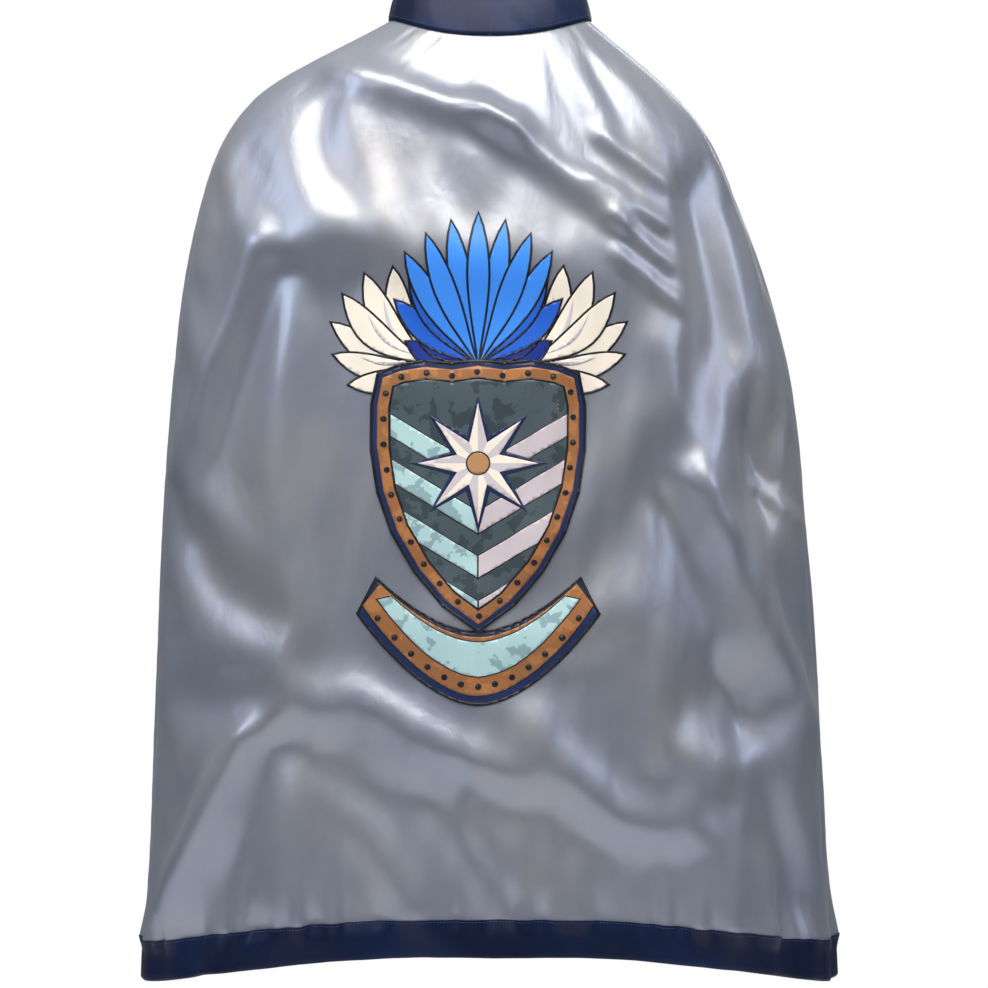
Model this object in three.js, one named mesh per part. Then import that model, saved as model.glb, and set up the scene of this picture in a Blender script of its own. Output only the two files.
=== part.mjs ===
// Superhero cape: a satin cape with a stand collar, a folded hem band and a printed emblem.
// Millimetres. +Z is up, the cape's back faces -Y, the wearer faces +Y and +X is the wearer's right.
// The origin is the middle of the wearer's neck, level with the sides of the neck seam.
import * as THREE from 'three';

// Cloth layers and the clearances between them.
const satinThickness = 1.6;
const liningThickness = 1.2;
const stiffenerThickness = 0.8;
const tapeThickness = 1.2;
const patchThickness = 1.2;
const filmThickness = 0.6;
const seamGap = 0.3;
const liningGap = 0.6;
const filmGap = 0.9;

// Neck and collar.
const neckHalfWidth = 101;
const neckBackDepth = 72;
const neckFrontDepth = 66;
const neckBackDip = 24;
const neckFrontDip = 42;
const collarHeight = 39;
const collarTaper = 12;
const neckOpeningGap = 16;

// The cape's outline: how far below the neck each place is, and how far it spreads there.
const shoulderDrop = 84;
const shoulderHalfWidth = 220;
const shoulderBackDepth = 106;
const shoulderFrontDepth = 98;
const upperArmDrop = 182;
const upperArmHalfWidth = 273;
const upperArmBackDepth = 124;
const upperArmFrontDepth = 118;
const elbowDrop = 390;
const elbowHalfWidth = 320;
const elbowBackDepth = 140;
const elbowFrontDepth = 132;
const hemDrop = 902;
const hemHalfWidth = 357;
const hemBackDepth = 166;
const hemFrontDepth = 148;
const hemSideSag = 44;
const shoulderLean = 24;
const sectionFullness = 2.3;

// Hem band, seams and facings.
const hemBandHeight = 37;
const bandThickness = 1.2;
const seamAllowance = 10;
const sideSeamSetback = 24;
const seamTapeWidth = 12;
const neckTapeWidth = 13;
const facingWidth = 12;

// Front edges and the roll line that each front folds back along.
const hemOpeningGap = 180;
const rollTopDrop = 110;
const rollHalfWidthAtHem = 262;
const flapTopWidth = 5;

// Closure tab and its hook and loop patches, as distances from the centre front.
const tabRoot = 24;
const tabReach = 40;
const tabHeight = 26;
const patchStart = 13;
const patchEnd = 36;
const patchHeight = 20;

// Emblem film: its height, and half its width at its crown, where the two wings spread, at the top
// of its shield and at its tip. Each place below the top is a share of the height.
const emblemTopDrop = 190;
const emblemHeight = 490;
const emblemCrownHalfWidth = 52;
const emblemNeckHalfWidth = 68;
const emblemWingHalfWidth = 158;
const emblemShieldHalfWidth = 118;
const emblemPointHalfWidth = 106;
const emblemTipHalfWidth = 8;
const emblemNeckShare = 0.14;
const emblemWingShare = 0.25;
const emblemShieldShare = 0.4;
const emblemPointShare = 0.75;

// Care label.
const labelWidth = 30;
const labelLength = 42;
const labelThickness = 0.8;

const RIGHT = 1;
const LEFT = -1;
const radians = THREE.MathUtils.degToRad;
const degrees = THREE.MathUtils.radToDeg;

// A smooth curve through [x, y] stations, as a function of x.
function smoothThrough(stations) {
  const slopes = stations.map((station, i) => {
    const before = stations[Math.max(i - 1, 0)];
    const after = stations[Math.min(i + 1, stations.length - 1)];
    return (after[1] - before[1]) / (after[0] - before[0]);
  });
  return (x) => {
    let i = 0;
    while (i < stations.length - 2 && x > stations[i + 1][0]) i += 1;
    const [x0, y0] = stations[i];
    const [x1, y1] = stations[i + 1];
    const span = x1 - x0;
    const t = THREE.MathUtils.clamp((x - x0) / span, 0, 1);
    const s = 1 - t;
    const ends = y0 * s * s * (1 + 2 * t) + y1 * t * t * (1 + 2 * s);
    return ends + span * s * t * (slopes[i] * s - slopes[i + 1] * t);
  };
}

const bottomDrop = hemDrop + hemBandHeight;
const halfWidthAt = smoothThrough([
  [0, neckHalfWidth],
  [shoulderDrop, shoulderHalfWidth],
  [upperArmDrop, upperArmHalfWidth],
  [elbowDrop, elbowHalfWidth],
  [bottomDrop, hemHalfWidth],
]);
const backDepthAt = smoothThrough([
  [0, neckBackDepth],
  [shoulderDrop, shoulderBackDepth],
  [upperArmDrop, upperArmBackDepth],
  [elbowDrop, elbowBackDepth],
  [bottomDrop, hemBackDepth],
]);
const frontDepthAt = smoothThrough([
  [0, neckFrontDepth],
  [shoulderDrop, shoulderFrontDepth],
  [upperArmDrop, upperArmFrontDepth],
  [elbowDrop, elbowFrontDepth],
  [bottomDrop, hemFrontDepth],
]);
// The left shoulder is carried higher and further out, so each level shifts a little to the left.
const leanAt = smoothThrough([
  [0, 0],
  [shoulderDrop, -shoulderLean],
  [elbowDrop, -shoulderLean / 3],
  [bottomDrop, 0],
]);

// A point on a rounded oval; 0 degrees is the centre back and 90 the wearer's right side.
function ovalPoint(angle, halfWidth, backDepth, frontDepth) {
  const across = Math.sin(radians(angle));
  const along = Math.cos(radians(angle));
  const power = 2 / sectionFullness;
  const depth = along > 0 ? backDepth : frontDepth;
  const x = halfWidth * Math.sign(across) * Math.abs(across) ** power;
  const y = -depth * Math.sign(along) * Math.abs(along) ** power;
  return new THREE.Vector3(x, y, 0);
}

// How far the neckline dips below its sides, at the back and further at the front.
function neckDip(angle) {
  const along = Math.cos(radians(angle));
  return (along > 0 ? neckBackDip : neckFrontDip) * along * along;
}

function capeSurface(angle, drop) {
  const share = drop / bottomDrop;
  const point = ovalPoint(angle, halfWidthAt(drop), backDepthAt(drop), frontDepthAt(drop));
  const sag = hemSideSag * Math.sin(radians(angle)) ** 2 * share ** 3;
  point.x += leanAt(drop);
  point.z = -drop - neckDip(angle) * (1 - share) ** 2 - sag;
  return point;
}

// The collar stands on the neckline and leans in towards its top edge. The panel's raw edge rises
// this share of its thickness above the neckline, where the shoulders slope.
const neckSteepness = 0.65;
const collarLift = satinThickness * neckSteepness + seamGap;
function collarSurface(angle, height) {
  const lean = (collarTaper * height) / collarHeight;
  const point = ovalPoint(angle, neckHalfWidth - lean, neckBackDepth - lean, neckFrontDepth - lean);
  point.z = height + collarLift - neckDip(angle);
  return point;
}

// A point standing off a surface along its outward normal, which is found from its neighbours.
function standOff(surface, outwardSign) {
  const angleStep = 0.2;
  const levelStep = 0.5;
  return (angle, level, offset) => {
    const along = surface(angle + angleStep, level).sub(surface(angle - angleStep, level));
    const down = surface(angle, level + levelStep).sub(surface(angle, level - levelStep));
    const normal = along.cross(down).normalize();
    return surface(angle, level).addScaledVector(normal, offset * outwardSign);
  };
}
const onCape = standOff(capeSurface, -1);
const onCollar = standOff(collarSurface, 1);

// Angles of lines on the cape, found from where they lie in millimetres.
function backAngle(x, drop) {
  const reach = Math.min(Math.abs(x) / halfWidthAt(drop), 1);
  return Math.sign(x) * degrees(Math.asin(reach ** (sectionFullness / 2)));
}
function frontAngle(side, x, halfWidth) {
  const reach = THREE.MathUtils.clamp(x / halfWidth, -1, 1);
  return side * (180 - degrees(Math.asin(Math.sign(reach) * Math.abs(reach) ** (sectionFullness / 2))));
}
function sideSeamAngle(drop) {
  return degrees(Math.acos((sideSeamSetback / backDepthAt(drop)) ** (sectionFullness / 2)));
}
// An arc length at the side of the cape, as an angle there.
function sideArc(length, drop) {
  const step = 0.5;
  const seam = sideSeamAngle(drop);
  const chord = capeSurface(seam + step, drop).distanceTo(capeSurface(seam - step, drop));
  return (length * 2 * step) / chord;
}

const frontEdgeAt = (drop) => THREE.MathUtils.lerp(neckOpeningGap / 2, hemOpeningGap / 2, drop / bottomDrop);
const rollLineAt = (drop) => THREE.MathUtils.mapLinear(
  drop, rollTopDrop, bottomDrop, neckOpeningGap / 2, rollHalfWidthAtHem);
const flapWidthAt = (drop) => rollLineAt(drop) - frontEdgeAt(drop);

// A closed ribbon of cloth. The profile is an outline of [offset, level] points, down one face and
// back up the other, so that its first point faces its last. Each point sweeps around the surface
// from one edge line to the other, and the two faces are joined along both edges.
function ribbon(place, profile, fromAngle, toAngle, steps, rise = () => 0) {
  const positions = [];
  for (let i = 0; i <= steps; i += 1) {
    const s = i / steps;
    for (const [offset, level] of profile) {
      const angle = THREE.MathUtils.lerp(fromAngle(level), toAngle(level), s);
      positions.push(...place(angle, level, offset + rise(s)).toArray());
    }
  }
  const count = profile.length;
  const indices = [];
  for (let i = 0; i < steps; i += 1) {
    for (let j = 0; j < count; j += 1) {
      const a = i * count + j;
      const b = i * count + ((j + 1) % count);
      indices.push(a, b, a + count, b, b + count, a + count);
    }
  }
  const last = steps * count;
  for (let j = 0; j < count / 2 - 1; j += 1) {
    const [a, b, c, d] = [j, j + 1, count - 2 - j, count - 1 - j];
    indices.push(a, c, b, a, d, c);
    indices.push(last + a, last + b, last + c, last + a, last + c, last + d);
  }
  const geometry = new THREE.BufferGeometry();
  geometry.setAttribute('position', new THREE.Float32BufferAttribute(positions, 3));
  geometry.setIndex(indices);
  return facingOut(geometry);
}

// Turns the faces round where the sweep ran the other way, so that the solid's volume is positive.
function facingOut(geometry) {
  const index = geometry.index.array;
  const corner = [0, 1, 2].map(() => new THREE.Vector3());
  let volume = 0;
  for (let i = 0; i < index.length; i += 3) {
    corner.forEach((point, k) => point.fromBufferAttribute(geometry.attributes.position, index[i + k]));
    volume += corner[0].dot(corner[1].cross(corner[2]));
  }
  if (volume < 0) {
    for (let i = 0; i < index.length; i += 3) {
      [index[i + 1], index[i + 2]] = [index[i + 2], index[i + 1]];
    }
  }
  geometry.computeVertexNormals();
  return geometry;
}

// The rows that every layer of the cape's cloth shares, closer together over the shoulders, so
// that layers that lie on each other bend at the same places.
const panelBottom = hemDrop + seamAllowance;
const rowCount = 26;
const rowCrowding = 1.35;
function rowsDown(count) {
  const rows = [];
  for (let i = 0; i <= count; i += 1) rows.push(panelBottom * (i / count) ** rowCrowding);
  return rows;
}
const clothRows = rowsDown(rowCount);

// The outline of a layer between two offsets, from its top level to its bottom one.
function layer(inner, outer, top, bottom, rows = clothRows) {
  const closest = 1;
  const between = rows.filter((row) => row > top + closest && row < bottom - closest);
  const levels = [top, ...between, bottom];
  const down = levels.map((level) => [outer, level]);
  const up = levels.reverse().map((level) => [inner, level]);
  return [...down, ...up];
}

const cape = new THREE.Group();
const finishes = {
  silverSatin: { color: 0xb9bfc8, roughness: 0.32, metalness: 0.25 },
  navySatin: { color: 0x16264d, roughness: 0.38, metalness: 0.15 },
  tape: { color: 0x8f949c, roughness: 0.85, metalness: 0 },
  stiffener: { color: 0xe8e6df, roughness: 0.95, metalness: 0 },
  hookAndLoop: { color: 0x11151f, roughness: 0.95, metalness: 0 },
  film: { color: 0x2f6fd0, roughness: 0.45, metalness: 0 },
  label: { color: 0xf2f1ee, roughness: 0.7, metalness: 0 },
};
function add(name, geometry, finish) {
  const mesh = new THREE.Mesh(geometry, new THREE.MeshStandardMaterial(finishes[finish]));
  mesh.name = name;
  cape.add(mesh);
}
const sideName = (name, side) => `${name}_${side === RIGHT ? 'right' : 'left'}`;

// Back panel: one width of satin between the two side seams, its lower edge inside the hem band.
const backSteps = 36;
const frontSteps = 16;
const flapSteps = 6;
const facingSteps = 1;
const tapeSteps = 2;
const panelProfile = layer(0, satinThickness, 0, panelBottom);
const backEdge = (side) => (drop) => side * (sideSeamAngle(drop) - sideArc(seamGap / 2, drop));
add('back_panel', ribbon(onCape, panelProfile, backEdge(LEFT), backEdge(RIGHT), backSteps), 'silverSatin');

// Front panels: from the side seam to the front edge near the neck, and to the roll line below it.
const frontSeamEdge = (side) => (drop) => side * (sideSeamAngle(drop) + sideArc(seamGap / 2, drop));
const panelFrontEdge = (side) => (drop) => {
  const x = Math.max(frontEdgeAt(drop), rollLineAt(drop) + seamGap / 2);
  return frontAngle(side, x, halfWidthAt(drop));
};
// Front flaps: the rest of each front, which folds back along the roll line.
const flapEdge = (side) => (drop) => frontAngle(side, frontEdgeAt(drop), halfWidthAt(drop));
const flapRoll = (side) => (drop) => frontAngle(side, rollLineAt(drop) - seamGap / 2, halfWidthAt(drop));
let flapTop = rollTopDrop;
while (flapWidthAt(flapTop) < flapTopWidth) flapTop += 1;
const flapProfile = layer(0, satinThickness, flapTop, panelBottom);
// Facings: each front edge is turned in and stitched down.
const facingSetDown = 2;
const facingTop = flapTop + facingSetDown;
const facingOuterEdge = (side) => (drop) => {
  const x = Math.min(frontEdgeAt(drop) + facingWidth, rollLineAt(drop) - seamGap);
  return frontAngle(side, x, halfWidthAt(drop));
};
const insideTape = -liningGap - tapeThickness;
const facingProfile = layer(insideTape, -liningGap, facingTop, hemDrop - seamGap);
for (const side of [LEFT, RIGHT]) {
  const panel = ribbon(onCape, panelProfile, frontSeamEdge(side), panelFrontEdge(side), frontSteps);
  add(sideName('front_panel', side), panel, 'silverSatin');
  const flap = ribbon(onCape, flapProfile, flapRoll(side), flapEdge(side), flapSteps);
  add(sideName('front_flap', side), flap, 'silverSatin');
  const facing = ribbon(onCape, facingProfile, facingOuterEdge(side), flapEdge(side), facingSteps);
  add(sideName('front_facing', side), facing, 'silverSatin');
}

// Hem band: a strip folded round the panel's lower edge, with the seam allowance inside its fold.
const slotInner = -liningGap;
const slotOuter = satinThickness + seamGap;
const slotBottom = panelBottom + seamGap;
const bandProfile = [
  [slotOuter + bandThickness, hemDrop],
  [slotOuter + bandThickness, bottomDrop],
  [slotInner - bandThickness, bottomDrop],
  [slotInner - bandThickness, hemDrop],
  [slotInner, hemDrop],
  [slotInner, slotBottom],
  [slotOuter, slotBottom],
  [slotOuter, hemDrop],
];
add('hem_band_back', ribbon(onCape, bandProfile, backEdge(LEFT), backEdge(RIGHT), backSteps), 'navySatin');
for (const side of [LEFT, RIGHT]) {
  const panelBand = ribbon(onCape, bandProfile, frontSeamEdge(side), panelFrontEdge(side), frontSteps);
  add(sideName('hem_band_front', side), panelBand, 'navySatin');
  const flapBand = ribbon(onCape, bandProfile, flapRoll(side), flapEdge(side), flapSteps);
  add(sideName('hem_band_flap', side), flapBand, 'navySatin');
}

// Tapes inside: one down each side seam, and one round the neck seam between the front edges.
const seamTapeProfile = layer(insideTape, -liningGap, neckTapeWidth + 2 * seamGap, hemDrop - seamGap);
for (const side of [LEFT, RIGHT]) {
  const tapeEdge = (reach) => (drop) => side * (sideSeamAngle(drop) + sideArc(reach, drop));
  const [front, back] = [tapeEdge(seamTapeWidth / 2), tapeEdge(-seamTapeWidth / 2)];
  const tape = ribbon(onCape, seamTapeProfile, back, front, tapeSteps);
  add(sideName('side_seam_tape', side), tape, 'tape');
}
const neckSteps = 40;
const neckTapeProfile = layer(insideTape, -liningGap, seamGap, neckTapeWidth);
const neckEdge = (side) => () => frontAngle(side, neckOpeningGap / 2, neckHalfWidth);
add('neck_tape', ribbon(onCape, neckTapeProfile, neckEdge(LEFT), neckEdge(RIGHT), neckSteps), 'tape');

// Collar: lining, stiff interfacing, and an outer layer in two halves with a centre-back seam.
const interfacingInner = liningThickness + seamGap;
const outerInner = interfacingInner + stiffenerThickness + seamGap;
const collarOuterFace = outerInner + liningThickness;
const collarRows = [collarHeight / 3, (collarHeight * 2) / 3];
const collarMargin = 2;
const collarSpan = [neckEdge(LEFT), neckEdge(RIGHT), neckSteps];
const liningProfile = layer(0, liningThickness, 0, collarHeight, collarRows);
add('collar_inner', ribbon(onCollar, liningProfile, ...collarSpan), 'navySatin');
const interfacingOuter = interfacingInner + stiffenerThickness;
const stiffenerTop = collarHeight - collarMargin;
const stiffenerProfile = layer(interfacingInner, interfacingOuter, collarMargin, stiffenerTop, collarRows);
add('collar_interfacing', ribbon(onCollar, stiffenerProfile, ...collarSpan), 'stiffener');
const outerProfile = layer(outerInner, collarOuterFace, 0, collarHeight, collarRows);
for (const side of [LEFT, RIGHT]) {
  const centreSeam = () => side * backAngle(seamGap / 2, 0);
  const half = ribbon(onCollar, outerProfile, centreSeam, neckEdge(side), neckSteps / 2);
  add(sideName('collar_outer', side), half, 'navySatin');
}

// Closure: the tab is sewn on the right end of the collar and presses its hooks on the left's loops.
const collarMiddle = collarHeight / 2;
const loopInner = collarOuterFace + seamGap;
const hookInner = loopInner + patchThickness + seamGap;
const tabInner = hookInner + patchThickness + seamGap;
const centred = (inner, thickness, height) => layer(
  inner, inner + thickness, collarMiddle - height / 2, collarMiddle + height / 2, collarRows);
const frontOf = (x) => () => frontAngle(RIGHT, x, neckHalfWidth);
const patchSteps = 4;
const tabSteps = 14;
const patchSpan = [frontOf(-patchStart), frontOf(-patchEnd), patchSteps];
const loopProfile = centred(loopInner, patchThickness, patchHeight);
add('loop_patch', ribbon(onCollar, loopProfile, ...patchSpan), 'hookAndLoop');
const hookProfile = centred(hookInner, patchThickness, patchHeight);
add('hook_patch', ribbon(onCollar, hookProfile, ...patchSpan), 'hookAndLoop');
// The tab starts on the collar and rises over the patches between its root and where they begin.
const tabLength = tabRoot + tabReach;
const riseShare = (tabRoot + patchStart) / tabLength;
const tabRise = (s) => (tabInner - loopInner) * THREE.MathUtils.smoothstep(s, 0, riseShare);
const tabProfile = centred(loopInner, satinThickness, tabHeight);
const tabSpan = [frontOf(tabRoot), frontOf(-tabReach), tabSteps];
add('closure_tab', ribbon(onCollar, tabProfile, ...tabSpan, tabRise), 'navySatin');

// Emblem film: heat-bonded on the back, a crown and two wings above a pointed shield.
const emblemHalfWidthAt = smoothThrough([
  [0, emblemCrownHalfWidth],
  [emblemHeight * emblemNeckShare, emblemNeckHalfWidth],
  [emblemHeight * emblemWingShare, emblemWingHalfWidth],
  [emblemHeight * emblemShieldShare, emblemShieldHalfWidth],
  [emblemHeight * emblemPointShare, emblemPointHalfWidth],
  [emblemHeight, emblemTipHalfWidth],
]);
const filmSteps = 36;
const filmRows = rowsDown(rowCount * 2);
const filmInner = satinThickness + filmGap;
const filmProfile = layer(
  filmInner, filmInner + filmThickness, emblemTopDrop, emblemTopDrop + emblemHeight, filmRows);
const filmEdge = (side) => (drop) => backAngle(side * emblemHalfWidthAt(drop - emblemTopDrop), drop);
add('emblem_transfer', ribbon(onCape, filmProfile, filmEdge(LEFT), filmEdge(RIGHT), filmSteps), 'film');

// Care label: hangs inside the centre back from the top of the neck tape.
const labelCorner = onCape(backAngle(labelWidth / 2, 0), seamGap, insideTape - seamGap);
const label = new THREE.BoxGeometry(labelWidth, labelThickness, labelLength);
label.translate(0, labelCorner.y + labelThickness / 2, labelCorner.z - labelLength / 2);
add('care_label', label, 'label');

export default cape;
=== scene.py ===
import math

import bmesh
import bpy
import numpy as np
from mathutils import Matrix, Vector
from mathutils.bvhtree import BVHTree


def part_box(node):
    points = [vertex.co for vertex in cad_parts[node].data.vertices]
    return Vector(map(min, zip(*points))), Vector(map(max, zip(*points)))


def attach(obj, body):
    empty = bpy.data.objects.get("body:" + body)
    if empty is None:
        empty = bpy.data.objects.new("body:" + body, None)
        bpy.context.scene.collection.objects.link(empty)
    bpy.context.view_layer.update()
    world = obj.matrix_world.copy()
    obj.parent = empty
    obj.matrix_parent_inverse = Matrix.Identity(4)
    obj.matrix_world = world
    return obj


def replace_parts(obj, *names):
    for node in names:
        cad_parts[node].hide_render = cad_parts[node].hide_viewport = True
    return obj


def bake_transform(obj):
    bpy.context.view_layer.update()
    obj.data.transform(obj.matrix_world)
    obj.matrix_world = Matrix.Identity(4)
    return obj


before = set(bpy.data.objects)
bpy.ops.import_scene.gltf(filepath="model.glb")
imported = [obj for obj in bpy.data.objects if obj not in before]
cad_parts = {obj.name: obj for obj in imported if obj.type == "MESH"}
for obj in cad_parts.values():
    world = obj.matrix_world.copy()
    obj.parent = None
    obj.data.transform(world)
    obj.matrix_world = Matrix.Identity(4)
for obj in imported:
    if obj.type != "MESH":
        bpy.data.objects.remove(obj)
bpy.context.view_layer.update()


# ---------------------------------------------------------------- camera
# The viewer stands straight behind the wearer, level with the middle of the back, so the
# cape's back faces the lens squarely. A long lens keeps the hem as wide as it really is.
camera_distance = 3.2
view_height = 1.0176
sensor_size = 36.0


def add_object(name, data):
    """A new object in the scene."""
    made = bpy.data.objects.new(name, data)
    bpy.context.scene.collection.objects.link(made)
    return made


camera_data = bpy.data.cameras.new("camera")
camera_data.sensor_width = sensor_size
camera_data.lens = sensor_size * camera_distance / view_height
camera = add_object("camera", camera_data)
camera.location = (0.004, -camera_distance, -0.486)
camera.rotation_euler = (math.radians(90), 0, 0)
bpy.context.scene.camera = camera


# ---------------------------------------------------------------- studio
# A pale studio: a round matt floor well below the hem, a wide softbox overhead that lights the
# shoulders most, and a weak fill from each side. The room is white behind the cape.
floor_drop = 1.3
floor_radius = 1.7
floor_sides = 96


def linear(colour):
    """An sRGB hex colour as linear red, green, blue and alpha."""
    channels = [int(colour[i:i + 2], 16) / 255 for i in (1, 3, 5)]
    return [c / 12.92 if c <= 0.04045 else ((c + 0.055) / 1.055) ** 2.4 for c in channels] + [1.0]


def add_node(tree, kind, inputs=None, **settings):
    """Adds a node; each input is a value, or another node's output socket to link from."""
    node = tree.nodes.new(kind)
    for name, value in settings.items():
        setattr(node, name, value)
    for name, value in (inputs or {}).items():
        if isinstance(value, bpy.types.NodeSocket):
            tree.links.new(value, node.inputs[name])
        else:
            node.inputs[name].default_value = value
    return node


def new_material(name):
    """An empty material, its node tree and a node that tells where on the object a point is."""
    material = bpy.data.materials.new(name)
    material.use_nodes = True
    material.node_tree.nodes.clear()
    return material, material.node_tree, add_node(material.node_tree, "ShaderNodeTexCoord")


def finished(material, inputs):
    """Gives a material its surface."""
    tree = material.node_tree
    surface = add_node(tree, "ShaderNodeBsdfPrincipled", inputs)
    add_node(tree, "ShaderNodeOutputMaterial", {"Surface": surface.outputs[0]})
    return material


def noise(tree, place, scale, **inputs):
    """Soft random mottling."""
    named = {name.capitalize(): value for name, value in inputs.items()}
    return add_node(tree, "ShaderNodeTexNoise", {"Vector": place, "Scale": scale, **named}).outputs["Fac"]


def ramp(tree, value, *stops):
    """A blend through (position, sRGB colour) stops."""
    node = add_node(tree, "ShaderNodeValToRGB", {"Fac": value})
    elements = node.color_ramp.elements
    while len(elements) < len(stops):
        elements.new(0.5)
    for element, (position, colour) in zip(elements, stops):
        element.position = position
        element.color = linear(colour)
    return node.outputs["Color"]


def bump(tree, height, strength, distance, **more):
    """Small relief; more holds a normal to add it to, or invert=True to press it in."""
    inputs = {"Height": height, "Strength": strength, "Distance": distance}
    if "normal" in more:
        inputs["Normal"] = more.pop("normal")
    return add_node(tree, "ShaderNodeBump", inputs, **more).outputs[0]


def painted_floor():
    """Matt white studio paint, very slightly mottled by foot traffic."""
    material, tree, place = new_material("matt_studio_paint")
    scuffs = noise(tree, place.outputs["Object"], 3.0, detail=3.0)
    return finished(material, {
        "Base Color": ramp(tree, scuffs, (0, "#f0f0f2"), (1, "#fbfbfc")),
        "Roughness": 0.9, "Specular IOR Level": 0.2})


floor_mesh = bpy.data.meshes.new("floor")
floor_points = [(floor_radius * math.cos(a), floor_radius * math.sin(a), -floor_drop)
                for a in np.linspace(0, 2 * math.pi, floor_sides, endpoint=False)]
floor_mesh.from_pydata(floor_points, [], [list(range(floor_sides))])
floor_mesh.materials.append(painted_floor())
add_object("floor", floor_mesh)


def softbox(name, location, target, size, power, colour):
    """A rectangular area light that faces a point."""
    data = bpy.data.lights.new(name, "AREA")
    data.shape = "RECTANGLE"
    data.size, data.size_y = size
    data.energy = power
    data.color = linear(colour)[:3]
    light = add_object(name, data)
    light.location = location
    light.rotation_euler = (Vector(target) - Vector(location)).to_track_quat("-Z", "Y").to_euler()


softbox("overhead_softbox", (-0.05, -1.0, 1.30), (0.03, -0.1, -0.25), (1.9, 1.0), 50, "#fff3e2")
softbox("left_fill", (-1.9, -1.3, 0.75), (-0.2, -0.1, -0.2), (1.0, 0.8), 14, "#eef2ff")
softbox("right_fill", (1.9, -1.2, 0.75), (0.2, -0.1, -0.2), (0.9, 0.8), 9, "#e9eeff")
softbox("front_fill", (0.6, 2.6, 0.8), (0, 0, -0.5), (1.6, 1.6), 22, "#ffffff")

world = bpy.data.worlds.new("white_room")
world.use_nodes = True
bpy.context.scene.world = world
sky = world.node_tree
sky.nodes.clear()
direction = add_node(sky, "ShaderNodeTexCoord")
upward = add_node(sky, "ShaderNodeSeparateXYZ", {"Vector": direction.outputs["Generated"]})
height = add_node(sky, "ShaderNodeMapRange", {
    "Value": upward.outputs["Z"], "From Min": -1.0, "From Max": 1.0})
room_light = add_node(sky, "ShaderNodeValToRGB", {"Fac": height.outputs["Result"]})
low_light, high_light = room_light.color_ramp.elements
low_light.position, low_light.color = 0.43, (0.03, 0.033, 0.045, 1)
high_light.position, high_light.color = 0.85, (0.46, 0.46, 0.48, 1)
room_glow = add_node(sky, "ShaderNodeBackground", {"Color": room_light.outputs["Color"]})
backdrop = add_node(sky, "ShaderNodeBackground", {"Color": (1, 1, 1, 1)})
sight = add_node(sky, "ShaderNodeLightPath")
room_mix = add_node(sky, "ShaderNodeMixShader", {
    0: sight.outputs["Is Camera Ray"], 1: room_glow.outputs[0], 2: backdrop.outputs[0]})
add_node(sky, "ShaderNodeOutputWorld", {"Surface": room_mix.outputs[0]})
bpy.context.scene.view_settings.view_transform = "Standard"


# ---------------------------------------------------------------- the cape's cloth
# Polyester satin, cut as a back and two fronts and hung from the neck seam over a wearer's
# shoulders. The whole hang is worked out here once, as a grid of points that every panel,
# tape and band is then laid on: rows run down from the neck, columns round the back.
neck_back_dip = 0.024
neck_front_dip = 0.042
bottom_drop = 0.939
hem_drop = 0.902
hem_side_sag = 0.044
section_fullness = 2.3
half_widths = [(0, 0.101), (0.084, 0.220), (0.182, 0.273), (0.390, 0.320), (bottom_drop, 0.356)]
back_depths = [(0, 0.072), (0.084, 0.106), (0.182, 0.124), (0.390, 0.140), (bottom_drop, 0.166)]
front_depths = [(0, 0.066), (0.084, 0.098), (0.182, 0.118), (0.390, 0.132), (bottom_drop, 0.148)]
leans = [(0, 0), (0.084, -0.024), (0.390, -0.008), (bottom_drop, 0)]
neck_gap = 0.016
hem_gap = 0.180
side_seam_setback = 0.024
row_crowding = 1.25


def through(stations, at):
    """The smooth curve through (place, value) stations, read at an array of places."""
    places, values = np.array(stations, float).T
    last = len(places) - 1
    before, after = np.maximum(np.arange(last + 1) - 1, 0), np.minimum(np.arange(last + 1) + 1, last)
    slopes = (values[after] - values[before]) / (places[after] - places[before])
    i = np.clip(np.searchsorted(places, at, side="right") - 1, 0, last - 1)
    span = places[i + 1] - places[i]
    t = np.clip((at - places[i]) / span, 0, 1)
    s = 1 - t
    ends = values[i] * s * s * (1 + 2 * t) + values[i + 1] * t * t * (1 + 2 * s)
    return ends + span * s * t * (slopes[i] * s - slopes[i + 1] * t)


def oval(angle, half_width, back_depth, front_depth):
    """x and y on a rounded oval: angle 0 is the centre back, a quarter turn the wearer's right."""
    across, along = np.sin(angle), np.cos(angle)
    power = 2 / section_fullness
    depth = np.where(along > 0, back_depth, front_depth)
    x = half_width * np.sign(across) * np.abs(across) ** power
    y = -depth * np.sign(along) * np.abs(along) ** power
    return x, y


def neck_dip(angle):
    """How far the neckline dips below its sides."""
    along = np.cos(angle)
    return np.where(along > 0, neck_back_dip, neck_front_dip) * along * along


def smooth_hang(angle, drop):
    """The cape's surface before it folds."""
    share = drop / bottom_drop
    x, y = oval(angle, through(half_widths, drop), through(back_depths, drop), through(front_depths, drop))
    sag = hem_side_sag * np.sin(angle) ** 2 * share ** 3
    z = -drop - neck_dip(angle) * (1 - share) ** 2 - sag
    return np.stack([x + through(leans, drop), y, z], axis=-1)


def angle_in_front(x, drop):
    """The angle, counted round the wearer's right, at which the front lies x from the centre line."""
    reach = x / through(half_widths, drop)
    return math.pi - np.arcsin(np.sign(reach) * np.abs(reach) ** (section_fullness / 2))


def side_seam_angle(drop):
    return np.arccos((side_seam_setback / through(back_depths, drop)) ** (section_fullness / 2))


def surface_normals(points):
    """Outward unit normals of a grid of points."""
    down, along = np.gradient(points, axis=(0, 1))
    normals = np.cross(down, along)
    return normals / np.linalg.norm(normals, axis=-1, keepdims=True)


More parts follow.
